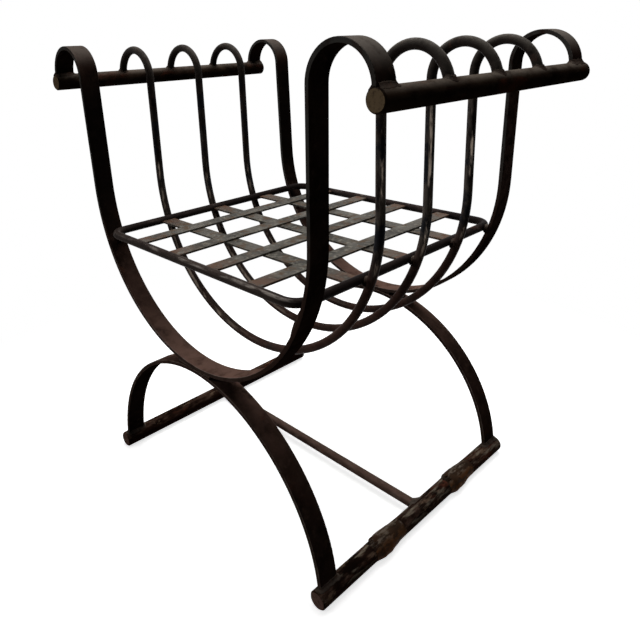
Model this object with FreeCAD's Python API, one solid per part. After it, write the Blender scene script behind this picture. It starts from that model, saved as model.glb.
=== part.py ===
import FreeCAD, Part
import math
import os

# Curule bench of welded iron bar: a cradle of two flat bands and round hoops carries a strap seat,
# hooks over two arm bars, and stands on two leg arches with foot bars on the floor.
# Millimetres, +Z up, +X to the bench's right, front towards -Y.
# The origin is on the floor, below the middle of the bench.

# Heights above the floor
crown_height = 254.4       # top of the leg arches, where the cradle sits
seat_height = 422.0        # axis of the seat frame's rod
arm_height = 661.0         # axes of the arm bars

# Cradle, on the bars' centre lines
band_spacing = 413.0       # between the middles of the front and rear flat bands
band_radius = 246.4        # the flat bands' bend under the seat
band_flare = 1.3           # degrees that the bands' straight sides lean outwards
band_arch_radius = 43.0    # the flat bands' bend over the arms
band_arch_rise = 57.0      # arm bar's axis to the top of a band
hoop_count = 3
hoop_outset = 0.8          # how much wider the round hoops' bend is than the bands'
hoop_drop = 2.6            # how much lower the hoops hang than the bands
hoop_arch_rise = 53.0      # arm bar's axis to the top of a hoop

# Legs
foot_spacing = 499.0       # between the axes of the two foot bars
leg_straight = 20.0        # straight end of a leg arch, down to the foot bar's axis
stretcher_rise = 3.0       # stretcher's axis above the foot bars' axes

# Bar stock
band_width = 30.0
band_thickness = 6.0
leg_width = 31.75
leg_thickness = 6.0
flat_edge = 0.8            # eased edge of the bands and leg arches
hoop_diameter = 12.7
arm_diameter = 25.4
arm_overhang = 2.0         # arm bar's end past the bands' edges
right_arm_slide = 4.0      # how far the right arm bar sits towards the rear
foot_diameter = 27.0
foot_overhang = 6.0        # foot bar's end past the leg arches' edges
stretcher_diameter = 15.0
sawn_edge = 1.7            # dulled edge of the sawn bar ends

# Seat
frame_diameter = 12.7
frame_corner = 25.0        # corner bend of the seat frame, on the rod's centre line
seat_overhang = 10.5       # front and rear rails' axes past the middles of the bands
strap_width = 25.0
strap_thickness = 3.0
long_strap_count = 4       # front to back, on top
cross_strap_count = 3      # left to right, underneath

# Welds
joint_gap = 0.2            # between two bars that are welded together
collar_leg = 4.2           # how far a weld collar spreads on a bar and climbs the other
collar_lip = 0.6           # thickness of a collar's upper rim
crown_weld_start = 12.0    # distance from the bench's middle where the crown welds begin
crown_weld_end = 36.0
crown_weld_inset = 1.0     # how far the crown welds stay back from the flat bars' edges
seat_weld_radius = 7.0     # weld lump between the seat frame and a cradle bar, at its middle
seat_weld_tip = 3.0        # radius of that lump's two ends
seat_weld_length = 15.0    # length of that lump along the seat frame
band_weld_inset = 4.0      # distance of that lump from the inner edge of a flat band

# Floor wraps on the right foot bar
wrap_length = 48.0
wrap_full_length = 30.0    # stretch of full thickness, before it thins out towards the rear
wrap_thickness = 3.0
wrap_tail_thickness = 1.0
wrap_shift = 1.0           # how far the wrap bulges outwards
wrap_front_y = -106.0      # front edges of the two wraps
wrap_rear_y = 82.0
wrap_wear = 2.0            # height above the floor below which the wrap is worn away

band_y = band_spacing / 2
arm_length = band_spacing + band_width + 2 * arm_overhang
foot_length = band_spacing + leg_width + 2 * foot_overhang
foot_x = foot_spacing / 2
foot_radius = foot_diameter / 2
arm_radius = arm_diameter / 2
hoop_section = hoop_diameter / 2
frame_section = frame_diameter / 2
stretcher_section = stretcher_diameter / 2
stretcher_height = foot_radius + stretcher_rise
up = FreeCAD.Vector(0, 0, 1)
along_x = FreeCAD.Vector(1, 0, 0)
along_y = FreeCAD.Vector(0, 1, 0)


def at(x, z, y=0.0):
    return FreeCAD.Vector(x, y, z)


def on_circle(center, radius, degrees):
    angle = math.radians(degrees)
    return center + FreeCAD.Vector(radius * math.cos(angle), 0, radius * math.sin(angle))


def arc(center, radius, start, end):
    middle = (start + end) / 2
    points = [on_circle(center, radius, degrees) for degrees in (start, middle, end)]
    return Part.Arc(*points).toShape()


def line(start, end):
    return Part.LineSegment(start, end).toShape()


def mirrored(shape):
    return shape.mirror(FreeCAD.Vector(0, 0, 0), along_x)


def evenly(count, width, room):
    """Middles of bars that share a room with even gaps between them and beside its walls."""
    gap = (room - count * width) / (count + 1)
    return [(index - (count - 1) / 2) * (gap + width) for index in range(count)]


class CradleLine:
    """Centre line of a cradle bar: bend under the seat, straight side, arch over, down to the arm bar."""

    def __init__(self, radius, flare, bottom, arch_radius, top):
        self.radius = radius
        self.flare = flare
        self.center = at(0, bottom + radius)
        self.arch_radius = arch_radius
        lean = math.radians(flare)
        side_start = on_circle(self.center, radius, -flare)
        side_top = top - arch_radius * (1 - math.sin(lean))
        side_end_x = side_start.x + (side_top - side_start.z) * math.tan(lean)
        self.arch_center = at(side_end_x + arch_radius * math.cos(lean), top - arch_radius)
        self.landing_x = self.arch_center.x + arch_radius
        sunk = (arm_height - self.arch_center.z) / arch_radius
        self.landing = math.degrees(math.asin(max(0.0, sunk)))

    def half(self, offset):
        """Edges of the right half, from the side's foot to inside the arm bar, moved outwards by offset."""
        arch = self.arch_radius - offset
        side_start = on_circle(self.center, self.radius + offset, -self.flare)
        side_end = on_circle(self.arch_center, arch, 180 - self.flare)
        edges = [line(side_start, side_end), arc(self.arch_center, arch, 180 - self.flare, self.landing)]
        if self.arch_center.z > arm_height:
            foot = on_circle(self.arch_center, arch, 0)
            edges.append(line(foot, at(foot.x, arm_height)))
        return edges

    def edges(self, offset=0.0):
        """Edges from the left landing to the right one."""
        right = self.half(offset)
        left = [mirrored(edge) for edge in reversed(right)]
        bend = arc(self.center, self.radius + offset, self.flare - 180, -self.flare)
        return left + [bend] + right

    def drop(self, height):
        """How far a height lies below the bend's centre; none beside the straight sides."""
        return max(0.0, self.center.z - height)

    def x_inside(self, inset, height):
        """How far out a point lies that is inset inwards from the centre line."""
        return math.sqrt((self.radius - inset) ** 2 - self.drop(height) ** 2)

    def outwards(self, x, height):
        """Direction square to the centre line through a point on the right."""
        return FreeCAD.Vector(x, 0, -self.drop(height)).normalize()


cradle_bottom = crown_height + joint_gap + band_thickness / 2
band_top = arm_height + band_arch_rise - band_thickness / 2
band_line = CradleLine(band_radius, band_flare, cradle_bottom, band_arch_radius, band_top)
arm_x = band_line.landing_x

# The hoops come down on the same arm bars as the bands.
hoop_radius = band_radius + hoop_outset
hoop_arch_radius = (arm_x - hoop_radius) / 2
hoop_top = arm_height + hoop_arch_rise - hoop_section
hoop_line = CradleLine(hoop_radius, 0.0, cradle_bottom - hoop_drop, hoop_arch_radius, hoop_top)
hoop_places = evenly(hoop_count, hoop_diameter, band_spacing - band_width)

# Leg arch: a bend under the crown that runs out straight to both foot bars' axes
leg_rise = crown_height - leg_thickness / 2 - foot_radius
leg_radius = (foot_x ** 2 + leg_rise ** 2 - leg_straight ** 2) / (2 * leg_rise)
leg_center = at(0, crown_height - leg_thickness / 2 - leg_radius)
leg_foot_angle = math.atan2(foot_radius - leg_center.z, foot_x)
leg_bend_end = math.degrees(leg_foot_angle + math.atan2(leg_straight, leg_radius))

# The seat frame's side rails lie against the cradle, most often against the hoops.
frame_x = min(
    hoop_line.x_inside(hoop_section + joint_gap + frame_section, seat_height),
    band_line.x_inside(band_thickness / 2 + joint_gap + frame_section, seat_height),
)
frame_y = band_y + seat_overhang
long_strap_places = evenly(long_strap_count, strap_width, 2 * (frame_x - frame_section))
cross_strap_places = evenly(cross_strap_count, strap_width, 2 * (frame_y - frame_section))


def flat_bar(edges, width, y):
    """Flat bar of the given width: closed outline in the XZ plane, eased along its edges."""
    face = Part.Face(Part.Wire(Part.__sortEdges__(edges)))
    face.translate(along_y * (y - width / 2))
    bar = face.extrude(along_y * width)
    rims = [edge for edge in bar.Edges if edge.BoundBox.YLength < joint_gap]
    return bar.makeFillet(flat_edge, rims)


def round_bar(edges, radius, y=0.0):
    """Round rod swept along edges that follow one another."""
    path = Part.Wire(edges)
    start = path.OrderedVertexes[0].Point
    first = path.OrderedEdges[0]
    ring = Part.Wire(Part.makeCircle(radius, start, first.tangentAt(first.FirstParameter)))
    rod = path.makePipeShell([ring], True, True)
    rod.translate(along_y * y)
    return rod


def straight_rod(radius, length, middle, direction):
    return Part.makeCylinder(radius, length, middle - direction * (length / 2), direction)


def sawn_bar(radius, length, middle):
    """Round bar along Y whose sawn ends have dulled edges."""
    bar = straight_rod(radius, length, middle, along_y)
    rims = [edge for edge in bar.Edges if isinstance(edge.Curve, Part.Circle)]
    return bar.makeChamfer(sawn_edge, rims)


def arm_middle(side):
    slide = right_arm_slide if side > 0 else 0.0
    return at(side * arm_x, arm_height, slide)


def foot_middle(side):
    return at(side * foot_x, foot_radius)


def arm_clearance(side):
    """Room for an arm bar, long enough to cut the bands over their whole width."""
    length = arm_length + 2 * right_arm_slide
    return straight_rod(arm_radius + joint_gap, length, arm_middle(side), along_y)


def foot_clearance(side):
    return straight_rod(foot_radius + joint_gap, foot_length, foot_middle(side), along_y)


def cut_both(blank, clearance):
    return blank.cut([clearance(-1), clearance(1)])


def band_blank(y, grow=0.0):
    """Cradle band before it is cut to the arm bars; grow adds clearance on every face."""
    half = band_thickness / 2 + grow
    outer = band_line.edges(half)
    inner = band_line.edges(-half)
    ends = [line(outer[end].Vertexes[end].Point, inner[end].Vertexes[end].Point) for end in (0, -1)]
    return flat_bar(outer + inner + ends, band_width + 2 * grow, y)


def hoop_blank(y, grow=0.0):
    return round_bar(hoop_line.edges(), hoop_section + grow, y)


def leg_blank(y, grow=0.0):
    """Leg arch before it is cut to the foot bars; grow adds clearance on every face."""
    half = leg_thickness / 2 + grow
    edges = []
    feet = []
    for radius in (leg_radius + half, leg_radius - half):
        shoulder = on_circle(leg_center, radius, leg_bend_end)
        foot = on_circle(shoulder, leg_straight, leg_bend_end - 90)
        straight = line(shoulder, foot)
        edges += [arc(leg_center, radius, leg_bend_end, 180 - leg_bend_end), straight, mirrored(straight)]
        feet.append(foot)
    end = line(*feet)
    return flat_bar(edges + [end, mirrored(end)], leg_width + 2 * grow, y)


def frame_ring(radius):
    """Seat frame rod: a rectangle with round corners."""
    straight_x = frame_x - frame_corner
    straight_y = frame_y - frame_corner
    bend = frame_corner * math.sqrt(0.5)
    edges = []
    for side_x, side_y in ((1, 1), (-1, 1), (-1, -1), (1, -1)):
        ends = [(side_x * frame_x, side_y * straight_y), (side_x * straight_x, side_y * frame_y)]
        if side_x != side_y:
            ends.reverse()
        peak = (side_x * (straight_x + bend), side_y * (straight_y + bend))
        corner = [at(x, seat_height, y) for x, y in (ends[0], peak, ends[1])]
        if edges:
            edges.append(line(edges[-1].Vertexes[-1].Point, corner[0]))
        edges.append(Part.Arc(*corner).toShape())
    edges.append(line(edges[-1].Vertexes[-1].Point, edges[0].Vertexes[0].Point))
    return round_bar(edges, radius)


def long_strap(x):
    """Front-to-back strap, coped to the seat frame's front and rear rails."""
    corner = at(x - strap_width / 2, seat_height, -frame_y)
    strap = Part.makeBox(strap_width, 2 * frame_y, strap_thickness, corner)
    rails = [at(0, seat_height, side * frame_y) for side in (-1, 1)]
    return strap.cut([straight_rod(frame_section + joint_gap, 2 * frame_x, rail, along_x) for rail in rails])


def cross_strap(y):
    """Left-to-right strap below the others, coped to the seat frame's side rails."""
    corner = at(-frame_x, seat_height - strap_thickness, y - strap_width / 2)
    strap = Part.makeBox(2 * frame_x, strap_width, strap_thickness, corner)
    rails = [at(side * frame_x, seat_height) for side in (-1, 1)]
    return strap.cut([straight_rod(frame_section + joint_gap, 2 * frame_y, rail, along_y) for rail in rails])


def flat_collar(x, y, base, thickness, width):
    """Weld collar round a flat bar that stands on a round bar; base is the round bar's top."""
    wires = []
    levels = [(-collar_leg, collar_leg), (-collar_lip, collar_leg), (collar_leg, collar_lip)]
    for climb, spread in levels:
        half_x = thickness / 2 + spread
        half_y = width / 2 + spread
        turns = ((-1, -1), (1, -1), (1, 1), (-1, 1), (-1, -1))
        wires.append(Part.makePolygon([at(x + i * half_x, base + climb, y + j * half_y) for i, j in turns]))
    return Part.makeLoft(wires, True, True)


def round_collar(foot, direction, section):
    """Weld collar round a rod that meets a round bar; foot is where its axis meets the bar's face."""
    root = Part.makeCylinder(section + collar_leg, collar_leg, foot - direction * collar_leg, direction)
    slope = Part.makeCone(section + collar_leg, section + collar_lip, collar_leg, foot, direction)
    return root.fuse(slope).removeSplitter()


def within_bar(shape, middle, length):
    """Part of a shape that lies between the dulled edges of a bar's two ends."""
    box = shape.BoundBox
    inner_length = length - 2 * sawn_edge
    corner = at(box.XMin, box.ZMin, middle.y - inner_length / 2)
    return shape.common(Part.makeBox(box.XLength, inner_length, box.ZLength, corner))


def arm_welds(side):
    """Collars where the cradle's bars land on one arm bar."""
    bar = arm_clearance(side)
    top = arm_height + arm_radius
    welds = []
    for y in (-band_y, band_y):
        collar = flat_collar(side * arm_x, y, top, band_thickness, band_width)
        collar = within_bar(collar, arm_middle(side), arm_length)
        welds.append(collar.cut([bar, band_blank(y, joint_gap)]))
    for y in hoop_places:
        collar = round_collar(at(side * arm_x, top, y), up, hoop_section)
        welds.append(collar.cut([bar, hoop_blank(y, joint_gap)]))
    return welds


def crown_welds():
    """Weld in the narrowing gaps between each band and the leg arch below it."""
    over = band_line.radius + band_thickness / 2 + joint_gap / 2
    under = leg_radius + leg_thickness / 2 + joint_gap / 2
    reach = (crown_weld_start, crown_weld_end)
    roof = arc(band_line.center, over, *[-math.degrees(math.acos(x / over)) for x in reach])
    floor = arc(leg_center, under, *[math.degrees(math.acos(x / under)) for x in reach])
    ends = [line(roof.Vertexes[end].Point, floor.Vertexes[end].Point) for end in (0, -1)]
    width = min(band_width, leg_width) - 2 * crown_weld_inset
    welds = []
    for y in (-band_y, band_y):
        face = Part.Face(Part.Wire(Part.__sortEdges__([roof, floor] + ends)))
        face.translate(along_y * (y - width / 2))
        wedge = face.extrude(along_y * width)
        welds += [wedge, mirrored(wedge)]
    return welds


def seat_lump(middle):
    """Weld lump that is thick in the middle and thins out along the seat frame's side rail."""
    reach = seat_weld_length / 2
    halves = [
        Part.makeCone(seat_weld_radius, seat_weld_tip, reach, middle, direction)
        for direction in (along_y, along_y * -1)
    ]
    return halves[0].fuse(halves[1])


def seat_welds():
    """Lumps between the seat frame's side rails and the cradle's bars."""
    ring = frame_ring(frame_section + joint_gap / 2)
    axis = at(frame_x, seat_height)
    joints = [(y, hoop_line, hoop_blank(y, joint_gap / 2)) for y in hoop_places]
    for side in (-1, 1):
        y = side * (band_y - band_width / 2 + band_weld_inset)
        joints.append((y, band_line, band_blank(side * band_y, joint_gap / 2)))
    welds = []
    for y, cradle, bar in joints:
        touch = axis + cradle.outwards(frame_x, seat_height) * frame_section
        lump = seat_lump(touch + along_y * y).cut([ring, bar])
        welds += [lump, mirrored(lump)]
    return welds


def foot_welds():
    """Collars where the leg arches land on the foot bars."""
    welds = []
    for side in (-1, 1):
        for y in (-band_y, band_y):
            collar = flat_collar(side * foot_x, y, foot_diameter, leg_thickness, leg_width)
            collar = within_bar(collar, foot_middle(side), foot_length)
            welds.append(collar.cut([foot_clearance(side), leg_blank(y, joint_gap)]))
    return welds


def stretcher_rod():
    rod = straight_rod(stretcher_section, foot_spacing, at(0, stretcher_height), along_x)
    return cut_both(rod, foot_clearance)


def stretcher_welds():
    """Collars where the stretcher meets the foot bars."""
    rod = straight_rod(stretcher_section + joint_gap, foot_spacing, at(0, stretcher_height), along_x)
    reach = foot_x - math.sqrt(foot_radius ** 2 - stretcher_rise ** 2)
    welds = []
    for side in (-1, 1):
        collar = round_collar(at(side * reach, stretcher_height), along_x * -side, stretcher_section)
        welds.append(collar.cut([rod, foot_clearance(side)]))
    return welds


def floor_wrap(y):
    """Wrap round the right foot bar, thinning towards the rear and worn away underneath."""
    start = foot_middle(1) + along_x * wrap_shift + along_y * y
    full = foot_radius + wrap_thickness
    tail = foot_radius + wrap_tail_thickness
    sleeve = Part.makeCylinder(full, wrap_full_length, start, along_y)
    shoulder = start + along_y * wrap_full_length
    thinning = Part.makeCone(full, tail, wrap_length - wrap_full_length, shoulder, along_y)
    wrap = sleeve.fuse(thinning).removeSplitter()
    worn = Part.makeBox(2 * full, wrap_length, full, at(start.x - full, wrap_wear - full, y))
    return wrap.cut([foot_clearance(1), worn])


def make_parts():
    parts = {}
    for name, y in (("front", -band_y), ("rear", band_y)):
        parts[name + "_band"] = cut_both(band_blank(y), arm_clearance)
        parts[name + "_leg_arch"] = cut_both(leg_blank(y), foot_clearance)
    for index, y in enumerate(hoop_places, 1):
        parts["round_hoop_%d" % index] = cut_both(hoop_blank(y), arm_clearance)
    for name, side in (("left", -1), ("right", 1)):
        parts[name + "_arm_bar"] = sawn_bar(arm_radius, arm_length, arm_middle(side))
        parts[name + "_foot_bar"] = sawn_bar(foot_radius, foot_length, foot_middle(side))
        parts[name + "_arm_welds"] = Part.Compound(arm_welds(side))
    parts["stretcher_rod"] = stretcher_rod()
    parts["seat_frame"] = frame_ring(frame_section)
    for index, x in enumerate(long_strap_places, 1):
        parts["long_seat_strap_%d" % index] = long_strap(x)
    for index, y in enumerate(cross_strap_places, 1):
        parts["cross_seat_strap_%d" % index] = cross_strap(y)
    parts["crown_welds"] = Part.Compound(crown_welds())
    parts["seat_frame_welds"] = Part.Compound(seat_welds())
    parts["foot_welds"] = Part.Compound(foot_welds())
    parts["stretcher_welds"] = Part.Compound(stretcher_welds())
    parts["front_floor_wrap"] = floor_wrap(wrap_front_y)
    parts["rear_floor_wrap"] = floor_wrap(wrap_rear_y)
    return parts


os.makedirs("parts", exist_ok=True)
for name, shape in make_parts().items():
    print(name, "solids", len(shape.Solids), "valid", shape.isValid(), "volume", round(shape.Volume, 1))
    shape.exportStep("parts/%s.step" % name)
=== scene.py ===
import math

import bmesh
import bpy
from mathutils import Matrix, Vector, noise


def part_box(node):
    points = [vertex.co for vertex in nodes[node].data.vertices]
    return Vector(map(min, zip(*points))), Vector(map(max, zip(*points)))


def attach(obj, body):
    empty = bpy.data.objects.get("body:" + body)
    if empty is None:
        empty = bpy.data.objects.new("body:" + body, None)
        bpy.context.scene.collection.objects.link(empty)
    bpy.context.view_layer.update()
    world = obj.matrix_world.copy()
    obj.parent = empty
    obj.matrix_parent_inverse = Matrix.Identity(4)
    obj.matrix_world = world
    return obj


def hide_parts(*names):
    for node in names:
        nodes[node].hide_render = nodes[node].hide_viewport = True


# Curule bench of welded iron bar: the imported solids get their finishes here, and the weld beads
# and the two worn wraps on the right foot bar are modelled over their plain solids. Metres, +Z up.

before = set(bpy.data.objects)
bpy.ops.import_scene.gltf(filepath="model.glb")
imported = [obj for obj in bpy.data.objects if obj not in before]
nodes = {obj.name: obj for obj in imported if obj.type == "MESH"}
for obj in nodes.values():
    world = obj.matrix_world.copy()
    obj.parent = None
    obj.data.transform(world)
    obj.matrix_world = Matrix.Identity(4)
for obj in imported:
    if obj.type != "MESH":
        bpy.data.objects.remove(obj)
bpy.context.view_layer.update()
print("frame loaded:", len(nodes), "nodes")

mm = 0.001


def linearColour(hexText):
    # sRGB hex to linear, with full alpha
    colour = []
    for start in (1, 3, 5):
        share = int(hexText[start:start + 2], 16) / 255
        colour.append(share / 12.92 if share <= 0.04045 else ((share + 0.055) / 1.055) ** 2.4)
    return (*colour, 1.0)


def addNode(tree, kind, settings=None, links=None):
    # one node, its settings and what feeds it; a colour Mix has its share at 0 and its colours at 6 and 7
    node = tree.nodes.new("ShaderNode" + kind)
    for name, value in (settings or {}).items():
        if isinstance(name, int) or name in node.inputs:
            node.inputs[name].default_value = value
        else:
            setattr(node, name, value)
    for name, socket in (links or {}).items():
        tree.links.new(socket, node.inputs[name])
    return node


# Each finish has two tones and then its layers of wear, in order. A layer is a colour in patches about
# mm millimetres across: none where the noise is below from, the full share above to, and only where all
# its places meet. A place says what is read ("Object" for where a point lies, "Normal" for where it
# faces), along which axis (|Y| takes both ways alike), and where it starts and is full, rising or falling.
patchNoise = {"detail": 6.0, "rough": 0.6, "even": (1.0, 1.0, 1.0)}


def patches(finish, layer):
    # soft-edged patches of one layer
    tree = finish["tree"]
    spread = addNode(tree, "Mapping", {"Scale": layer.get("stretch", finish["stretch"])},
                     {"Vector": finish["coords"].outputs["Object"]})
    cloud = addNode(tree, "TexNoise", {"Scale": 1 / (layer["mm"] * mm), "Detail": patchNoise["detail"],
                                       "Roughness": patchNoise["rough"]},
                    {"Vector": spread.outputs["Vector"]})
    mask = addNode(tree, "MapRange", {"interpolation_type": "SMOOTHSTEP", "From Min": layer["from"],
                                      "From Max": layer["to"], "To Max": layer.get("share", 1.0)},
                   {"Value": cloud.outputs["Fac"]})
    return mask.outputs["Result"]


def placeMask(finish, name):
    # 1 in a place and 0 outside it, made once for each finish
    if name not in finish["masks"]:
        tree = finish["tree"]
        source, axis, start, end = finish["places"][name]
        split = addNode(tree, "SeparateXYZ", {}, {0: finish["coords"].outputs[source]})
        value = split.outputs[axis.strip("|")]
        if axis.startswith("|"):
            value = addNode(tree, "Math", {"operation": "ABSOLUTE"}, {0: value}).outputs[0]
        ramp = addNode(tree, "MapRange", {"interpolation_type": "SMOOTHSTEP", "From Min": min(start, end),
                                          "From Max": max(start, end), "To Min": float(start > end),
                                          "To Max": float(start < end)}, {"Value": value})
        finish["masks"][name] = ramp.outputs["Result"]
    return finish["masks"][name]


def wear(finish, layer):
    # one layer on top of what is there
    tree = finish["tree"]
    mask = patches(finish, layer)
    for name in layer.get("where", []):
        place = placeMask(finish, name)
        mask = addNode(tree, "Math", {"operation": "MULTIPLY"}, {0: mask, 1: place}).outputs[0]
    mixed = addNode(tree, "Mix", {"data_type": "RGBA", 7: linearColour(layer["colour"])},
                    {0: mask, 6: finish["colour"]})
    finish["colour"] = mixed.outputs[2]
    return mask


def startFinish(name, look):
    # a material with its two tones and its layers of wear; the layers' masks are kept
    material = bpy.data.materials.new(name)
    material.use_nodes = True
    tree = material.node_tree
    tree.nodes.clear()
    finish = {"material": material, "tree": tree, "coords": addNode(tree, "TexCoord"), "masks": {},
              "places": look["places"], "stretch": look.get("stretch", patchNoise["even"])}
    base = addNode(tree, "Mix", {"data_type": "RGBA", 6: linearColour(look["dark"]),
                                 7: linearColour(look["light"])}, {0: patches(finish, look["tone"])})
    finish["colour"] = base.outputs[2]
    finish["worn"] = {layerName: wear(finish, layer) for layerName, layer in look["layers"].items()}
    return finish


# What all the iron shares: rust is rougher than the rest, and this is the grain of the pits
anyIron = {"rustRough": 0.15, "pitDetail": 3.0, "pitRough": 0.65}


def ironFinish(name, look):
    # blackened iron: dull and pitted, rougher where flecked or rusty, shining as metal where a layer is a
    # line of clean metal laid as a painted highlight
    iron = startFinish(name, look)
    tree = iron["tree"]
    worn = iron["worn"]
    smooth, rough = look["rough"]
    flecked = addNode(tree, "MapRange", {"To Min": smooth, "To Max": rough}, {"Value": worn["fleck"]})
    rusty = addNode(tree, "Math", {"operation": "MULTIPLY_ADD", 1: anyIron["rustRough"]},
                    {0: worn["rust"], 2: flecked.outputs["Result"]})
    pits = addNode(tree, "TexNoise", {"Scale": 1 / (look["pitMm"] * mm), "Detail": anyIron["pitDetail"],
                                      "Roughness": anyIron["pitRough"]},
                   {"Vector": iron["coords"].outputs["Object"]})
    bump = addNode(tree, "Bump", {"Strength": look["bump"], "Distance": look["pitDepthMm"] * mm},
                   {"Height": pits.outputs["Fac"]})
    feeds = {"Base Color": iron["colour"], "Roughness": rusty.outputs[0], "Normal": bump.outputs["Normal"]}
    for layerName, layer in look["layers"].items():
        if "shine" in layer:
            links = {0: worn[layerName]}
            if "Metallic" in feeds:
                links[2] = feeds["Metallic"]
            bareGlint = addNode(tree, "Math", {"operation": "MULTIPLY_ADD", 1: layer["shine"], 2: 0.0}, links)
            feeds["Metallic"] = bareGlint.outputs[0]
    shader = addNode(tree, "BsdfPrincipled", {"Metallic": 0.0, "Specular IOR Level": look["gloss"]}, feeds)
    addNode(tree, "OutputMaterial", {}, {"Surface": shader.outputs["BSDF"]})
    return iron["material"]


# Flat bar, blackened hot: brown-black and dull, grey on its narrow faces, which are brown low down, and pale
# with dust on its upward faces where it lies low, which also stands in as painted sheen. Painted light and
# shade: a grey highlight on the crests, very dark shade up the left side and on the right half's narrow
# faces low down, a reddish light on the outer face at the rear right, and a highlight with the wear on the
# low corners
flatBar = {
    "dark": "#1f1612", "light": "#3a2a24", "tone": {"mm": 70, "from": 0.35, "to": 0.65},
    "pitMm": 2.5, "pitDepthMm": 0.25, "bump": 0.25, "rough": (0.55, 0.68), "gloss": 0.0,
    "places": {
        "low": ("Object", "Z", 0.5, 0.36), "high": ("Object", "Z", 0.36, 0.5),
        "upward": ("Normal", "Z", 0.3, 0.9), "level": ("Normal", "X", 0.9, 0.1),
        "crest": ("Object", "Z", 0.64, 0.7), "crestTop": ("Normal", "Z", 0.2, 0.9),
        "towardsRight": ("Object", "X", -1.0, 0.34), "belowCrest": ("Object", "Z", 0.7, 0.63),
        "left": ("Object", "X", -0.1, -0.2), "aboveSeat": ("Object", "Z", 0.4, 0.5),
        "rear": ("Object", "Y", 0.0, 0.1), "right": ("Object", "X", 0.1, 0.2),
        "outward": ("Normal", "X", 0.3, 0.8), "narrowFace": ("Normal", "|Y|", 0.3, 0.7),
        "cornerFrom": ("Normal", "|Y|", 0.15, 0.35), "cornerTo": ("Normal", "|Y|", 0.99, 0.85),
        "rightHalf": ("Object", "X", 0.08, 0.16), "aboveLegs": ("Object", "Z", 0.15, 0.19),
        "belowUprights": ("Object", "Z", 0.56, 0.44),
    },
    "layers": {
        "fleck": {"colour": "#3e2f28", "mm": 11, "from": 0.48, "to": 0.72},
        "rust": {"colour": "#432a20", "mm": 30, "from": 0.6, "to": 0.76},
        "scuff": {"colour": "#51443d", "mm": 12, "from": 0.7, "to": 0.82},
        # dust on the low upward faces, which also stands in as a painted sheen
        "dustAndSheen": {"colour": "#7c6055", "mm": 26, "from": 0.2, "to": 0.6, "share": 0.9,
                 "where": ["low", "upward", "level"]},
        # painted highlight: grey on the upward faces of the crests
        "crest": {"colour": "#746d66", "mm": 14, "from": 0.1, "to": 0.5, "share": 0.8,
                  "where": ["crest", "crestTop", "towardsRight"]},
        # painted shade: very dark up the inside of the left uprights, above the seat
        "paintedShadeLeft": {"colour": "#120f0d", "mm": 60, "from": 0.15, "to": 0.45, "share": 0.75,
                  "where": ["left", "aboveSeat", "belowCrest"]},
        # painted light: reddish on the outward face of the rear right upright
        "paintedLightRearRight": {"colour": "#715852", "mm": 18, "from": 0.3, "to": 0.65, "share": 0.8,
                     "where": ["rear", "right", "outward", "high", "belowCrest"]},
        "greyEdge": {"colour": "#4a4946", "mm": 22, "from": 0.25, "to": 0.55, "share": 0.85,
                     "where": ["high", "narrowFace"]},
        "brownEdge": {"colour": "#4b3c36", "mm": 22, "from": 0.25, "to": 0.55, "share": 0.8,
                      "where": ["low", "narrowFace"]},
        # the low rounded corners are pale with wear and with a painted highlight
        "corner": {"colour": "#94857c", "mm": 22, "from": 0.3, "to": 0.6, "share": 0.7,
                   "where": ["low", "cornerFrom", "cornerTo"]},
        # painted shade: the narrow faces of the right half kept dark from the legs up to the uprights
        "paintedShadeEdge": {"colour": "#3a2a24", "mm": 22, "from": 0.1, "to": 0.4, "share": 0.85,
                    "where": ["rightHalf", "aboveLegs", "belowUprights", "narrowFace"]},
    },
}
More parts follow.
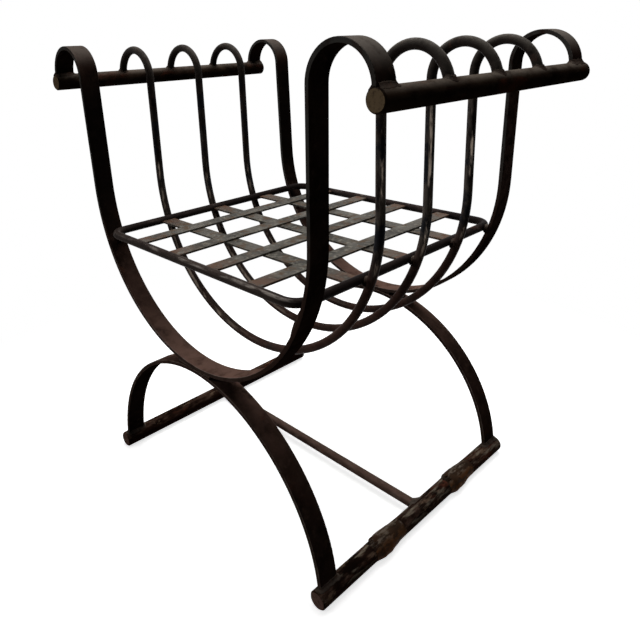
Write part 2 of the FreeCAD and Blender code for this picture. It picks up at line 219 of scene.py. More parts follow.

# Drawn round rod, blackened: near black with a blue cast in places, rubbed to a dull bronze along the
# uprights, more of it on the right, where the extra is painted light, and redder under the seat. Fine lines
# worn to clean metal are laid as painted highlights on the forward sides of the uprights and of the left
# rods under the seat, and a grey painted highlight lies on the tops of the arches
hoopRod = {
    "dark": "#1c1716", "light": "#2d2624", "tone": {"mm": 60, "from": 0.35, "to": 0.65},
    "pitMm": 2.2, "pitDepthMm": 0.2, "bump": 0.2, "rough": (0.36, 0.5), "gloss": 0.008,
    "places": {
        "under": ("Object", "Z", 0.47, 0.41), "aboveSeat": ("Object", "Z", 0.41, 0.47),
        "arch": ("Object", "Z", 0.63, 0.665), "belowArch": ("Object", "Z", 0.665, 0.63),
        "fromLeft": ("Object", "X", -0.3, 0.05), "right": ("Object", "X", -0.1, 0.1),
        "left": ("Object", "X", 0.05, -0.15), "lowUpright": ("Object", "Z", 0.6, 0.5),
        "outward": ("Normal", "X", 0.25, 0.7), "forward": ("Normal", "Y", -0.2, -0.65),
        "upward": ("Normal", "Z", 0.1, 0.45), "squareForward": ("Normal", "Y", -0.35, -0.7),
        "crest": ("Object", "Z", 0.63, 0.67), "crestTop": ("Normal", "Z", -0.4, 0.9),
        "towardsRight": ("Object", "X", -1.0, 0.34),
    },
    "layers": {
        "fleck": {"colour": "#3a302b", "mm": 9, "from": 0.48, "to": 0.72},
        "rust": {"colour": "#472e25", "mm": 18, "from": 0.6, "to": 0.76},
        "scuff": {"colour": "#564b43", "mm": 8, "from": 0.7, "to": 0.82},
        "redUnder": {"colour": "#4a332c", "mm": 22, "from": 0.2, "to": 0.6, "share": 0.9,
                     "where": ["under", "fromLeft"]},
        "bronze": {"colour": "#8e8379", "mm": 8, "from": 0.36, "to": 0.64, "share": 0.15,
                   "stretch": (1.0, 1.0, 0.2), "where": ["aboveSeat", "belowArch"]},
        # more bronze on the right uprights: wear, and painted light that lifts them
        "bronzeAndLightRight": {"colour": "#8e8379", "mm": 8, "from": 0.36, "to": 0.64, "share": 0.38,
                        "stretch": (1.0, 1.0, 0.2), "where": ["aboveSeat", "belowArch", "right"]},
        "bronzeUnder": {"colour": "#8e8379", "mm": 8, "from": 0.36, "to": 0.64, "share": 0.06,
                        "stretch": (0.2, 1.0, 1.0), "where": ["under"]},
        "bronzeArch": {"colour": "#8e8379", "mm": 8, "from": 0.36, "to": 0.64, "share": 0.06,
                       "stretch": (0.2, 1.0, 1.0), "where": ["arch"]},
        "blue": {"colour": "#23262d", "mm": 30, "from": 0.44, "to": 0.6, "share": 0.9,
                 "where": ["aboveSeat", "belowArch"]},
        # fine lines of clean metal, pale and shining, laid as painted highlights on the outer forward sides
        # of the right uprights
        "bareGlintRight": {"colour": "#a8998a", "mm": 9, "from": 0.5, "to": 0.64, "share": 0.9, "shine": 0.6,
                      "stretch": (1.0, 1.0, 0.16),
                      "where": ["aboveSeat", "belowArch", "right", "outward", "forward"]},
        # the same painted highlight lines on the left uprights, low down just above the seat
        "bareGlintLeft": {"colour": "#a8998a", "mm": 9, "from": 0.5, "to": 0.64, "share": 0.7, "shine": 0.6,
                     "stretch": (1.0, 1.0, 0.16),
                     "where": ["left", "aboveSeat", "belowArch", "lowUpright", "outward", "forward"]},
        # the same painted highlight lines on the upper forward faces of the left rods under the seat
        "bareGlintUnder": {"colour": "#a8998a", "mm": 7, "from": 0.4, "to": 0.6, "share": 0.6, "shine": 0.6,
                      "stretch": (0.25, 1.0, 0.25), "where": ["under", "left", "upward", "squareForward"]},
        # painted highlight: grey on the tops of the arches, strongest on the right
        "crest": {"colour": "#6a645d", "mm": 12, "from": 0.2, "to": 0.6, "share": 0.8,
                  "where": ["crest", "crestTop", "towardsRight"]},
    },
}

# Seat frame rod: the same rod, its front rail rubbed greyer by clothes, with a line of clean metal laid as a
# painted highlight along its top towards the right
frameRod = {
    "dark": "#1f1a19", "light": "#312927", "tone": {"mm": 45, "from": 0.35, "to": 0.65},
    "stretch": (0.2, 0.2, 1.0),
    "pitMm": 2.2, "pitDepthMm": 0.2, "bump": 0.2, "rough": (0.36, 0.5), "gloss": 0.005,
    "places": {
        "frontRail": ("Object", "Y", -0.17, -0.2), "fromLeft": ("Object", "X", -0.34, -0.06),
        "lineFrom": ("Normal", "Z", 0.4, 0.65), "lineTo": ("Normal", "Z", 0.98, 0.85),
        "towardsRight": ("Object", "X", -0.35, 0.15),
    },
    "layers": {
        "fleck": {"colour": "#413734", "mm": 8, "from": 0.48, "to": 0.72},
        "rust": {"colour": "#472f26", "mm": 14, "from": 0.6, "to": 0.76},
        "scuff": {"colour": "#5c524b", "mm": 8, "from": 0.62, "to": 0.74},
        "rubbed": {"colour": "#433a35", "mm": 22, "from": 0.32, "to": 0.62,
                   "where": ["frontRail", "fromLeft"]},
        # a line of clean metal, pale and shining, laid as a painted highlight along the top of the front
        # rail
        "bareGlint": {"colour": "#a39a92", "mm": 9, "from": 0.44, "to": 0.64, "share": 0.7, "shine": 0.35,
                 "where": ["frontRail", "fromLeft", "lineFrom", "lineTo", "towardsRight"]},
    },
}

# Stretcher rod: near the floor and dull, red-brown and dark at its sides, with a paler painted sheen on top
stretcherRod = {
    "dark": "#3c2b25", "light": "#5a463d", "tone": {"mm": 40, "from": 0.35, "to": 0.65},
    "stretch": (0.4, 1.0, 1.0),
    "pitMm": 2.2, "pitDepthMm": 0.3, "bump": 0.3, "rough": (0.6, 0.72), "gloss": 0.01,
    "places": {"upward": ("Normal", "Z", 0.3, 0.95)},
    "layers": {
        "fleck": {"colour": "#6f5f55", "mm": 10, "from": 0.48, "to": 0.72},
        "rust": {"colour": "#643c2e", "mm": 22, "from": 0.56, "to": 0.72},
        "scuff": {"colour": "#8a7c6d", "mm": 14, "from": 0.62, "to": 0.74},
        # painted sheen: paler on the upward faces
        "topSheen": {"colour": "#775f55", "mm": 14, "from": 0.2, "to": 0.6, "share": 0.7,
                  "where": ["upward"]},
    },
}

# Weld metal: blackened with the bench, uneven, browner where the blackening was thin, with a grey painted
# highlight on top
weld = {
    "dark": "#261d1a", "light": "#40322c", "tone": {"mm": 12, "from": 0.35, "to": 0.65},
    "pitMm": 1.8, "pitDepthMm": 0.3, "bump": 0.35, "rough": (0.5, 0.64), "gloss": 0.0,
    "places": {"upward": ("Normal", "Z", 0.3, 0.95)},
    "layers": {
        "fleck": {"colour": "#4f4037", "mm": 4, "from": 0.48, "to": 0.72},
        "rust": {"colour": "#4d3327", "mm": 8, "from": 0.54, "to": 0.7},
        "scuff": {"colour": "#6d5f54", "mm": 5, "from": 0.68, "to": 0.8},
        # painted highlight: grey on the upward faces
        "topHighlight": {"colour": "#6a6057", "mm": 10, "from": 0.2, "to": 0.6, "share": 0.7,
                    "where": ["upward"]},
    },
}

# Heavy round bar for the arms: brown-black from handling, in dark and red-brown stretches, with a grey
# painted highlight on top. Its end faces are left unblackened as sawn, darker on the left
armBar = {
    "dark": "#18110e", "light": "#33271f", "tone": {"mm": 40, "from": 0.35, "to": 0.65},
    "stretch": (1.0, 0.45, 1.0),
    "pitMm": 2.5, "pitDepthMm": 0.3, "bump": 0.3, "rough": (0.42, 0.56), "gloss": 0.0,
    "places": {
        "upward": ("Normal", "Z", 0.3, 0.95), "endFace": ("Normal", "|Y|", 0.85, 0.98),
        "left": ("Object", "X", 0.1, -0.1),
    },
    "layers": {
        "fleck": {"colour": "#3d3128", "mm": 12, "from": 0.48, "to": 0.72},
        "rust": {"colour": "#522c20", "mm": 36, "from": 0.52, "to": 0.68},
        "scuff": {"colour": "#544840", "mm": 14, "from": 0.66, "to": 0.78},
        # painted highlight: grey on the upward faces
        "topHighlight": {"colour": "#6f665d", "mm": 16, "from": 0.2, "to": 0.6, "share": 0.7,
                    "where": ["upward"]},
        "sawn": {"colour": "#7b6850", "mm": 4, "from": 0.0, "to": 0.1, "where": ["endFace"]},
        "sawnDark": {"colour": "#584838", "mm": 4, "from": 0.45, "to": 0.7, "where": ["endFace"]},
        "sawnLeft": {"colour": "#584838", "mm": 4, "from": 0.2, "to": 0.6, "where": ["endFace", "left"]},
    },
}

# Heavy round bar on the floor: red-black, with red-black painted shade on the sides of the left bar and on
# the undersides, and scuffed in grey and tan streaks on the right. Its end faces are left unblackened as
# sawn, darker on the left
footBar = {
    "dark": "#150d0a", "light": "#3a2820", "tone": {"mm": 24, "from": 0.35, "to": 0.65},
    "stretch": (1.0, 0.35, 1.0),
    "pitMm": 3.0, "pitDepthMm": 0.5, "bump": 0.45, "rough": (0.55, 0.7), "gloss": 0.002,
    "places": {
        "left": ("Object", "X", 0.1, -0.1), "right": ("Object", "X", -0.1, 0.1),
        "sides": ("Normal", "Z", 0.7, 0.3), "downward": ("Normal", "Z", 0.5, -0.1),
        "upward": ("Normal", "Z", -0.1, 0.5), "endFace": ("Normal", "|Y|", 0.85, 0.98),
    },
    "layers": {
        "fleck": {"colour": "#5f4a40", "mm": 12, "from": 0.48, "to": 0.72},
        "rust": {"colour": "#60382b", "mm": 18, "from": 0.54, "to": 0.7},
        "scuff": {"colour": "#76604f", "mm": 13, "from": 0.56, "to": 0.68},
        # painted shade: red-black on the sides of the left foot bar
        "shadeLeft": {"colour": "#22100b", "mm": 30, "from": 0.25, "to": 0.6, "share": 0.85,
                      "where": ["left", "sides"]},
        # painted shade: red-black on the undersides
        "shadeBelow": {"colour": "#22100b", "mm": 30, "from": 0.25, "to": 0.6, "share": 0.6,
                       "where": ["downward"]},
        "paleStreak": {"colour": "#8c8070", "mm": 9, "from": 0.5, "to": 0.66, "share": 0.9,
                       "stretch": (1.0, 0.2, 1.0), "where": ["right", "upward"]},
        "sawn": {"colour": "#6b534b", "mm": 5, "from": 0.0, "to": 0.1, "where": ["endFace"]},
        "sawnDark": {"colour": "#49362f", "mm": 5, "from": 0.45, "to": 0.7, "where": ["endFace"]},
        "sawnLeft": {"colour": "#49362f", "mm": 5, "from": 0.2, "to": 0.6, "where": ["endFace", "left"]},
    },
}

# Hot-rolled strap: grey mill scale with an olive cast, worn dull by sitting, rusty towards the welded ends
strap = {
    "dark": "#34312c", "light": "#5f5b54", "tone": {"mm": 45, "from": 0.35, "to": 0.65},
    "pitMm": 2.6, "pitDepthMm": 0.3, "bump": 0.3, "rough": (0.5, 0.62), "gloss": 0.05,
    "endReachMm": 60,
    "layers": {
        "fleck": {"colour": "#807b70", "mm": 7, "from": 0.48, "to": 0.72},
        "rust": {"colour": "#544538", "mm": 16, "from": 0.5, "to": 0.66},
        "scuff": {"colour": "#908b80", "mm": 10, "from": 0.66, "to": 0.78},
        "endRust": {"colour": "#5b4335", "mm": 12, "from": 0.32, "to": 0.6, "where": ["nearEnds"]},
    },
}


def strapIron(name, axis, length):
    # length is how far the strap runs each way from the middle
    nearEnds = ("Object", axis, length - strap["endReachMm"] * mm, length)
    return ironFinish(name, {**strap, "places": {"nearEnds": nearEnds}})


# Leather worn smooth on the floor: dark brown, rubbed grey on top and orange-brown outside, where it is raw
leather = {
    "dark": "#20150e", "light": "#3f2c1e", "tone": {"mm": 14, "from": 0.35, "to": 0.65},
    "stretch": (1.0, 0.4, 1.0),
    "grainMm": 2.4, "grainDepthMm": 0.2, "bump": 0.5, "rough": 0.7, "gloss": 0.05,
    "places": {"upward": ("Normal", "Z", 0.2, 0.8), "outward": ("Normal", "X", 0.35, 0.85)},
    "layers": {
        "rubbed": {"colour": "#74675a", "mm": 8, "from": 0.48, "to": 0.64, "where": ["upward"]},
        "raw": {"colour": "#57351a", "mm": 8, "from": 0.4, "to": 0.6, "where": ["outward"]},
    },
}


def wornLeather(name, look):
    hide = startFinish(name, look)
    tree = hide["tree"]
    grain = addNode(tree, "TexVoronoi", {"Scale": 1 / (look["grainMm"] * mm)},
                    {"Vector": hide["coords"].outputs["Object"]})
    bump = addNode(tree, "Bump", {"Strength": look["bump"], "Distance": look["grainDepthMm"] * mm},
                   {"Height": grain.outputs["Distance"]})
    shader = addNode(tree, "BsdfPrincipled",
                     {"Roughness": look["rough"], "Specular IOR Level": look["gloss"]},
                     {"Base Color": hide["colour"], "Normal": bump.outputs["Normal"]})
    addNode(tree, "OutputMaterial", {}, {"Surface": shader.outputs["BSDF"]})
    return hide["material"]


def dress(material, *names):
    for name in names:
        slots = nodes[name].data.materials
        slots.clear()
        slots.append(material)


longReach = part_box("long_seat_strap_1")[1].y
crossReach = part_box("cross_seat_strap_1")[1].x
dress(ironFinish("blackened_flat_bar", flatBar), "front_band", "rear_band",
      "front_leg_arch", "rear_leg_arch")
dress(ironFinish("blackened_hoop_rod", hoopRod), "round_hoop_1", "round_hoop_2", "round_hoop_3")
dress(ironFinish("rubbed_frame_rod", frameRod), "seat_frame")
dress(ironFinish("dull_stretcher_rod", stretcherRod), "stretcher_rod")
dress(ironFinish("blackened_arm_bar", armBar), "left_arm_bar", "right_arm_bar")
dress(ironFinish("scuffed_foot_bar", footBar), "left_foot_bar", "right_foot_bar")
dress(strapIron("long_strap_iron", "|Y|", longReach), "long_seat_strap_1", "long_seat_strap_2",
      "long_seat_strap_3", "long_seat_strap_4")
dress(strapIron("cross_strap_iron", "|X|", crossReach), "cross_seat_strap_1", "cross_seat_strap_2",
      "cross_seat_strap_3")
weldMetal = ironFinish("weld_metal", weld)
dress(weldMetal, "left_arm_welds", "right_arm_welds", "foot_welds", "stretcher_welds")
dress(weldMetal, "crown_welds", "seat_frame_welds")
floorLeather = wornLeather("worn_leather", leather)
dress(floorLeather, "front_floor_wrap", "rear_floor_wrap")
print("finishes on")


def newPiece(name, bm, material, slot, *replaced):
    # finishes a mesh and hangs it on the bench
    bmesh.ops.recalc_face_normals(bm, faces=bm.faces)
    mesh = bpy.data.meshes.new(name)
    bm.to_mesh(mesh)
    bm.free()
    mesh.shade_smooth()
    mesh.materials.append(material)
    piece = bpy.data.objects.new(name, mesh)
    bpy.context.scene.collection.objects.link(piece)
    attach(piece, "root")
    if replaced:
        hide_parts(*replaced)
    print(name, "faces", len(mesh.polygons))


def evenShares(start, end, step):
    # shares of the way from start to end, about a step apart, without the end itself
    count = max(1, round((end - start).length / step))
    return [index / count for index in range(count)]


def drawOn(bm, edges):
    # extrudes a row of edges in place, and gives the new vertices and the new row
    grown = bmesh.ops.extrude_edge_only(bm, edges=edges)["geom"]
    verts = [part for part in grown if isinstance(part, bmesh.types.BMVert)]
    fresh = set(verts)
    lines = [part for part in grown if isinstance(part, bmesh.types.BMEdge)]
    return verts, [line for line in lines if fresh.issuperset(line.verts)]


def sweepRing(bm, stations, sides, closed):
    # a ring drawn through the stations; its ends are capped unless it closes on itself
    start = bmesh.ops.create_circle(bm, segments=sides, radius=1.0, matrix=stations[0])["verts"]
    first = list(dict.fromkeys(edge for vert in start for edge in vert.link_edges))
    edges = first
    for before, after in zip(stations, stations[1:]):
        verts, edges = drawOn(bm, edges)
        bmesh.ops.transform(bm, matrix=after @ before.inverted(), verts=verts)
    if closed:
        bmesh.ops.bridge_loops(bm, edges=first + edges)
    else:
        for rim in (first, edges):
            bmesh.ops.holes_fill(bm, edges=rim, sides=0)


def barOf(name):
    # axis, radius and ends of a round bar that runs front to back
    low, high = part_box(name)
    return {"x": (low.x + high.x) / 2, "z": (low.z + high.z) / 2, "radius": (high.z - low.z) / 2,
            "front": low.y, "rear": high.y}


def middleY(name):
    low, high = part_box(name)
    return (low.y + high.y) / 2


# Hollow weld fillet, laid in short overlapping dabs: its height up the piece that lands, its reach along
# the round bar, and how uneven it is
fillet = {
    "headMm": 4.0, "toeMm": 4.6, "hollow": 0.8, "sunkMm": 0.8, "steps": 5, "stepMm": 0.8, "cornerSteps": 4,
    "dabMm": 3.2, "ripple": 0.07, "uneven": 0.3, "unevenMm": 7.0,
    "endMm": 0.3,    # it stays this far short of a bar's ends
    "most": 0.94,    # and goes no further round a bar's side than this share of the radius
    "onRods": 0.7,   # the hoops' fillets are smaller than the bands'
}


def drawFillet(bm, joint, land, swell=None):
    # joint is a closed row of (point, way out) pairs; land puts a flat point at a height on the bar.
    # The section is drawn once, extruded straight, one step for each pair, and then bent round the joint
    head, toe, sunk = [fillet[name] * mm for name in ("headMm", "toeMm", "sunkMm")]
    section = [(-sunk, -sunk), (-sunk, head)]
    for step in range(fillet["steps"] + 1):
        turn = math.pi / 2 * step / fillet["steps"]
        out = toe * (1 - math.cos(turn)) ** fillet["hollow"]
        up = head * (1 - math.sin(turn)) ** fillet["hollow"]
        section.append((out, up))
    section.append((toe, -sunk))
    verts = [bm.verts.new((out, up, 0)) for out, up in section]
    first = [bm.edges.new((verts[index - 1], verts[index])) for index in range(len(verts))]
    edges = first
    drawn = list(verts)
    for number in range(1, len(joint)):
        verts, edges = drawOn(bm, edges)
        bmesh.ops.translate(bm, vec=(0, 0, 1), verts=verts)
        drawn += verts
    for vert in drawn:
        number = round(vert.co.z)
        point, way = joint[number]
        dab = 1 + fillet["ripple"] * math.sin(2 * math.pi * number * fillet["stepMm"] / fillet["dabMm"])
        drift = 1 + fillet["uneven"] * noise.noise(Vector((*point, 0)) / (fillet["unevenMm"] * mm))
        size = dab * drift * (swell(point) if swell else 1.0)
        vert.co = land(point + way * vert.co.x * size, vert.co.y * size)
    bmesh.ops.bridge_loops(bm, edges=first + edges)


def wayAt(angle):
    return Vector((math.cos(angle), math.sin(angle)))


def roundJoint(middle, radius):
    # row of points and ways out round a rod
    count = round(2 * math.pi * radius / (fillet["stepMm"] * mm))
    ways = [wayAt(2 * math.pi * index / count) for index in range(count)]
    return [(middle + way * radius, way) for way in ways]


def flatJoint(middle, halfX, halfY, corner):
    # row of points and ways out round a flat bar with rounded corners
    turns = []
    for quarter, (sideX, sideY) in enumerate(((1, 1), (-1, 1), (-1, -1), (1, -1))):
        centre = middle + Vector((sideX * (halfX - corner), sideY * (halfY - corner)))
        for step in range(fillet["cornerSteps"] + 1):
            way = wayAt(math.pi / 2 * (quarter + step / fillet["cornerSteps"]))
            turns.append((centre + way * corner, way))
    joint = []
    for (start, startWay), (end, endWay) in zip(turns, turns[1:] + turns[:1]):
        for share in evenShares(start, end, fillet["stepMm"] * mm):
            joint.append((start.lerp(end, share), startWay.lerp(endWay, share).normalized()))
    return joint


def onTop(bar):
    # puts a flat point at a height above the upper face of a round bar, short of the bar's ends
    short = fillet["endMm"] * mm

    def land(point, lift):
        y = min(max(point.y, bar["front"] + short), bar["rear"] - short)
        rise = math.sqrt((bar["radius"] + lift) ** 2 - (point.x - bar["x"]) ** 2)
        return Vector((point.x, y, bar["z"] + rise))
    return land


def onSide(bar):
    # the same for the inner side of a round bar; here a flat point is y and z
    def land(point, lift):
        spoke = bar["radius"] + lift
        rise = min(max(point.y - bar["z"], -fillet["most"] * spoke), fillet["most"] * spoke)
        depth = math.copysign(math.sqrt(spoke ** 2 - rise ** 2), bar["x"])
        return Vector((bar["x"] - depth, point.x, bar["z"] + rise))
    return land


# Flat bars that land on the round bars
flatEnd = {"thicknessMm": 6.0, "cornerMm": 1.6, "legLean": 7.1}   # lean of a leg's straight end, in degrees


def flatLanding(bm, bar, x, node):
    low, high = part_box(node)
    middle = Vector((x, middleY(node)))
    joint = flatJoint(middle, flatEnd["thicknessMm"] / 2 * mm, (high.y - low.y) / 2,
                      flatEnd["cornerMm"] * mm)
    drawFillet(bm, joint, onTop(bar))


hoops = ["round_hoop_1", "round_hoop_2", "round_hoop_3"]
for side in ("left", "right"):
    bm = bmesh.new()
    armPlace = barOf(side + "_arm_bar")
    for node in ("front_band", "rear_band"):
        flatLanding(bm, armPlace, armPlace["x"], node)
    for node in hoops:
        low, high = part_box(node)
        joint = roundJoint(Vector((armPlace["x"], middleY(node))), (high.y - low.y) / 2)
        drawFillet(bm, joint, onTop(armPlace), lambda point: fillet["onRods"])
    newPiece(side + "_arm_weld_beads", bm, weldMetal, "weld_metal", side + "_arm_welds")

bm = bmesh.new()
for side in ("left", "right"):
    footPlace = barOf(side + "_foot_bar")
    lean = math.tan(math.radians(flatEnd["legLean"]))
    inwards = -math.copysign(footPlace["radius"] * lean, footPlace["x"])
    for node in ("front_leg_arch", "rear_leg_arch"):
        flatLanding(bm, footPlace, footPlace["x"] + inwards, node)
newPiece("foot_weld_beads", bm, weldMetal, "weld_metal", "foot_welds")

# Fillets round the stretcher's ends, thickest at the rear
stretcherEnd = {"rearSwell": 0.7}
bm = bmesh.new()
low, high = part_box("stretcher_rod")
rodRadius = (high.y - low.y) / 2
for side in ("left", "right"):
    joint = roundJoint(Vector((0, (low.z + high.z) / 2)), rodRadius)
    drawFillet(bm, joint, onSide(barOf(side + "_foot_bar")),
               lambda point: 1 + stretcherEnd["rearSwell"] * max(0.0, point.x / rodRadius))
newPiece("stretcher_weld_beads", bm, weldMetal, "weld_metal", "stretcher_welds")

# Rough beads along the outer edges of the two crowns, where a band lies on a leg arch
crown = {
    "fromMm": -44, "toMm": 36, "stepMm": 0.7, "sides": 12, "beadMm": 1.3, "proudMm": 0.2,
    "growth": 0.03,   # share that it grows by for each millimetre from the middle
    "dabMm": 3.0, "ripple": 0.1, "uneven": 0.16, "unevenMm": 6.0,
    "wanderMm": 5.0, "wanderUpMm": 0.6, "wanderInMm": 0.4, "noiseAt": (7, 3),
    "bandBendMm": 249.4,   # radius of a band's outer face
    "legBendMm": 251.9,    # radius of a leg arch's upper face
}


def crownPath(node, outward):
    # points along the seam at the outer edge of a band, which wander a little
    low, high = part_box(node)
    bandBend = crown["bandBendMm"] * mm
    legBend = crown["legBendMm"] * mm
    edge = (low.y if outward < 0 else high.y) + outward * (crown["proudMm"] - crown["beadMm"]) * mm
    start = Vector((crown["fromMm"] * mm, edge, 0))
    end = Vector((crown["toMm"] * mm, edge, 0))
    path = [start.lerp(end, share) for share in evenShares(start, end, crown["stepMm"] * mm)]
    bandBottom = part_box("front_band")[0].z
    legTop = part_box("front_leg_arch")[1].z
    for point in path:
        roof = bandBottom + bandBend - math.sqrt(bandBend ** 2 - point.x ** 2)
        base = legTop - legBend + math.sqrt(legBend ** 2 - point.x ** 2)
        wander = noise.noise(point / (crown["wanderMm"] * mm) + Vector((*crown["noiseAt"], outward)))
        point.z = (roof + base) / 2 + wander * crown["wanderUpMm"] * mm
        point.y -= outward * wander * crown["wanderInMm"] * mm
    return path


def drawBead(bm, path):
    # bead along a path that never runs straight up
    stations = []
    run = 0.0
    for index, point in enumerate(path):
        before = path[max(index - 1, 0)]
        after = path[min(index + 1, len(path) - 1)]
        along = (after - before).normalized()
        side = along.cross(Vector((0, 0, 1))).normalized()
        rise = along.cross(side)
        run += (point - before).length
        dab = 1 + crown["ripple"] * math.sin(2 * math.pi * run / (crown["dabMm"] * mm))
        drift = 1 + crown["uneven"] * noise.noise(point / (crown["unevenMm"] * mm))
        swell = 1 + crown["growth"] * abs(point.x) / mm
        size = crown["beadMm"] * mm * dab * drift * swell
        ring = Matrix((side * size, rise * size, along)).transposed().to_4x4()
        stations.append(Matrix.Translation(point) @ ring)
    sweepRing(bm, stations, crown["sides"], False)


bm = bmesh.new()
drawBead(bm, crownPath("front_band", -1))
drawBead(bm, crownPath("rear_band", 1))
newPiece("crown_weld_beads", bm, weldMetal, "weld_metal")

# Lumps of weld between the seat frame's side rails and the cradle
lump = {
    "lengthMm": 15, "acrossMm": 6.0, "downMm": 7.5, "dropMm": 3.0, "uneven": 0.16, "unevenMm": 5.0,
    "bandInsetMm": 4.0, "rounds": 3,
}
bm = bmesh.new()
low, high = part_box("seat_frame")
frameZ = (low.z + high.z) / 2
inset = lump["bandInsetMm"] * mm
places = [middleY(node) for node in hoops]
places += [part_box("front_band")[1].y - inset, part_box("rear_band")[0].y + inset]
shape = Matrix.Diagonal((lump["acrossMm"] * mm, lump["lengthMm"] / 2 * mm, lump["downMm"] * mm, 1.0))
for side in (-1, 1):
    for y in places:
        middle = Vector((side * high.x, y, frameZ - lump["dropMm"] * mm))
        blob = bmesh.ops.create_icosphere(bm, subdivisions=lump["rounds"], radius=1.0,
                                          matrix=Matrix.Translation(middle) @ shape)
        for vert in blob["verts"]:
            swell = lump["uneven"] * noise.noise(vert.co / (lump["unevenMm"] * mm))
            vert.co = middle + (vert.co - middle) * (1 + swell)
newPiece("seat_weld_lumps", bm, weldMetal, "weld_metal", "seat_frame_welds")

# Two worn leather wraps on the right foot bar: a sharp step on top at the front, a soft bulge low on the
# outside, thinning out to the rear
wrap = {
    "topMm": 2.6, "outerMm": 3.2, "skinMm": 0.2, "stepMm": 1.2, "sides": 64, "runInMm": 14, "runOutMm": 8,
    "outerAngle": -30, "outerSharp": 1.5, "foldMm": 7.0, "foldDepthMm": 0.7, "floorMm": 1.0,
    # shares of its length over which it rises and falls
    "topRise": (-0.03, 0.02), "topFall": (0.25, 1.1), "outerRise": (-0.28, 0.1), "outerFall": (0.3, 0.98),
}


def rampUp(span, value):
    # smooth rise from 0 at the span's start to 1 at its end
    start, end = span
    share = min(1.0, max(0.0, (value - start) / (end - start)))
    return share * share * (3 - 2 * share)


def floorWrap(name, node):
    low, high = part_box(node)
    bar = barOf("right_foot_bar")
    skin = bar["radius"] + wrap["skinMm"] * mm
    start = Vector((bar["x"], low.y - wrap["runInMm"] * mm, bar["z"]))
    end = Vector((bar["x"], high.y + wrap["runOutMm"] * mm, bar["z"]))
    across = Matrix(((skin, 0, 0), (0, 0, -1), (0, skin, 0))).to_4x4()   # the ring stands across the bar
    stations = [Matrix.Translation(start.lerp(end, share)) @ across
                for share in evenShares(start, end, wrap["stepMm"] * mm)]
    bm = bmesh.new()
    sweepRing(bm, stations, wrap["sides"], True)
    axis = Vector((bar["x"], 0, bar["z"]))
    for vert in bm.verts:
        share = (vert.co.y - low.y) / (high.y - low.y)
        spoke = Vector((vert.co.x, 0, vert.co.z)) - axis
        angle = math.atan2(spoke.z, spoke.x) - math.radians(wrap["outerAngle"])
        outer = max(0.0, math.cos(angle)) ** wrap["outerSharp"]
        above = rampUp(wrap["topRise"], share) * (1 - rampUp(wrap["topFall"], share)) * (1 - outer)
        outside = rampUp(wrap["outerRise"], share) * (1 - rampUp(wrap["outerFall"], share)) * outer
        fold = noise.noise(vert.co / (wrap["foldMm"] * mm)) * wrap["foldDepthMm"] * (above + outside)
        thick = max(0.0, wrap["topMm"] * above + wrap["outerMm"] * outside + fold) * mm
        vert.co += spoke.normalized() * thick
        vert.co.z = max(vert.co.z, wrap["floorMm"] * mm)
    newPiece(name, bm, floorLeather, "worn_leather", node)


floorWrap("front_leather_wrap", "front_floor_wrap")
floorWrap("rear_leather_wrap", "rear_floor_wrap")


def backgroundRays(tree):
    # 1 for what the camera sees, directly, in gloss or through glass
    path = addNode(tree, "LightPath")
    gloss = addNode(tree, "Math", {"operation": "MAXIMUM"},
                    {0: path.outputs["Is Camera Ray"], 1: path.outputs["Is Glossy Ray"]})
    seen = addNode(tree, "Math", {"operation": "MAXIMUM"},
                   {0: gloss.outputs[0], 1: path.outputs["Is Transmission Ray"]})
    return seen.outputs[0]


# Pale floor: grey in the light that it gives back to the bench, but white to the eye, with the bench's soft
# shadow left in it near the bench
floor = {
    "size": 40.0, "colour": "#696764", "seenColour": "#fdfdfc", "white": "#ffffff", "unlit": "#000000",
    "fadeFrom": 0.5, "fadeTo": 0.9,   # metres from the middle over which the shadow fades out
    "litLevel": 0.25,   # how bright the lamps make it; the rest of its white is its own
}


def paleFloor():
    mesh = bpy.data.meshes.new("floor")
    bm = bmesh.new()
    bmesh.ops.create_grid(bm, x_segments=1, y_segments=1, size=floor["size"] / 2)
    bm.to_mesh(mesh)
    bm.free()
    sheet = bpy.data.objects.new("floor", mesh)
    bpy.context.scene.collection.objects.link(sheet)
    material = bpy.data.materials.new("white_paper_floor")
    material.use_nodes = True
    tree = material.node_tree
    tree.nodes.clear()
    seen = backgroundRays(tree)
    coords = addNode(tree, "TexCoord")
    away = addNode(tree, "VectorMath", {"operation": "LENGTH"}, {0: coords.outputs["Object"]})
    near = addNode(tree, "MapRange", {"interpolation_type": "SMOOTHSTEP", "From Min": floor["fadeFrom"],
                                      "From Max": floor["fadeTo"], "To Min": 1.0, "To Max": 0.0},
                   {"Value": away.outputs["Value"]})
    rest = addNode(tree, "Math", {"operation": "MULTIPLY_ADD", 1: -floor["litLevel"], 2: 1.0},
                   {0: near.outputs["Result"]})
    glow = addNode(tree, "Math", {"operation": "MULTIPLY"}, {0: seen, 1: rest.outputs[0]})
    litTone = addNode(tree, "Mix", {"data_type": "RGBA", 6: linearColour(floor["unlit"]),
                                    7: linearColour(floor["seenColour"])}, {0: near.outputs["Result"]})
    tone = addNode(tree, "Mix", {"data_type": "RGBA", 6: linearColour(floor["colour"])},
                   {0: seen, 7: litTone.outputs[2]})
    paper = addNode(tree, "BsdfDiffuse", {}, {"Color": tone.outputs[2]})
    white = addNode(tree, "Emission", {"Color": linearColour(floor["white"])},
                    {"Strength": glow.outputs[0]})
    mixed = addNode(tree, "AddShader", {}, {0: paper.outputs[0], 1: white.outputs[0]})
    addNode(tree, "OutputMaterial", {}, {"Surface": mixed.outputs[0]})
    mesh.materials.append(material)


# Soft studio light: a large one above and behind, a weak one from the front left
lights = {
    "top": {"place": (-0.3, 0.5, 2.3), "aim": (0, 0, 0.3), "size": 1.8, "watts": 44},
    "left": {"place": (-3.6, -3.8, 1.5), "aim": (0.1, 0, 0.45), "size": 1.4, "watts": 80},
    "ambient": 0.02, "wall": "#ffffff",
}


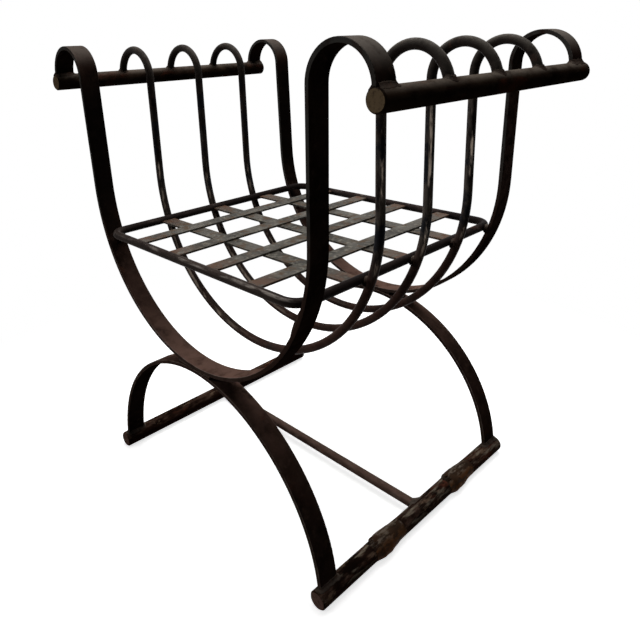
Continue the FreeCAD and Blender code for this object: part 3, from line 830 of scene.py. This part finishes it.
def softLight(name):
    look = lights[name]
    lamp = bpy.data.lights.new(name + "_light", "AREA")
    lamp.size = look["size"]
    lamp.energy = look["watts"]
    holder = bpy.data.objects.new(name + "_light", lamp)
    place = Vector(look["place"])
    holder.location = place
    holder.rotation_euler = (Vector(look["aim"]) - place).to_track_quat("-Z", "Y").to_euler()
    bpy.context.scene.collection.objects.link(holder)


def whiteRoom():
    world = bpy.data.worlds.new("white_room")
    world.use_nodes = True
    tree = world.node_tree
    tree.nodes.clear()
    seen = backgroundRays(tree)
    level = addNode(tree, "MapRange", {"To Min": lights["ambient"], "To Max": 1.0}, {"Value": seen})
    wall = addNode(tree, "Background", {"Color": linearColour(lights["wall"])},
                   {"Strength": level.outputs["Result"]})
    addNode(tree, "OutputWorld", {}, {"Surface": wall.outputs[0]})
    bpy.context.scene.world = world


paleFloor()
whiteRoom()
softLight("top")
softLight("left")
print("floor and lights in place")

# Camera where the photograph was taken from, worked out from the bench's own symmetry
photoCamera = {
    "place": (0.69545, -0.66207, 0.71676),
    "azimuth": 46.479, "elevation": 17.654, "roll": -2.039,   # degrees
    "focalPixels": 614.82,
    "axisPixel": (298.46, 234.43),   # where the lens axis meets the picture
    "picturePixels": 640,
    "sensorMm": 36.0, "nearest": 0.01,
}


def placeCamera():
    look = photoCamera
    turn, tilt, roll = [math.radians(look[name]) for name in ("azimuth", "elevation", "roll")]
    back = Vector((math.sin(turn) * math.cos(tilt), -math.cos(turn) * math.cos(tilt), math.sin(tilt)))
    level = Vector((math.cos(turn), math.sin(turn), 0))
    upright = back.cross(level)
    right = math.cos(roll) * level + math.sin(roll) * upright
    up = math.cos(roll) * upright - math.sin(roll) * level
    pixels = look["picturePixels"]
    lens = bpy.data.cameras.new("photo_camera")
    lens.sensor_width = look["sensorMm"]
    lens.lens = look["focalPixels"] / pixels * lens.sensor_width
    lens.shift_x = (pixels / 2 - look["axisPixel"][0]) / pixels
    lens.shift_y = (look["axisPixel"][1] - pixels / 2) / pixels
    lens.clip_start = look["nearest"]
    camera = bpy.data.objects.new("photo_camera", lens)
    stance = Matrix((right, up, back)).transposed().to_4x4()
    camera.matrix_world = Matrix.Translation(look["place"]) @ stance
    bpy.context.scene.collection.objects.link(camera)
    bpy.context.scene.camera = camera


placeCamera()
bpy.context.scene.view_settings.view_transform = "Standard"
print("camera set")
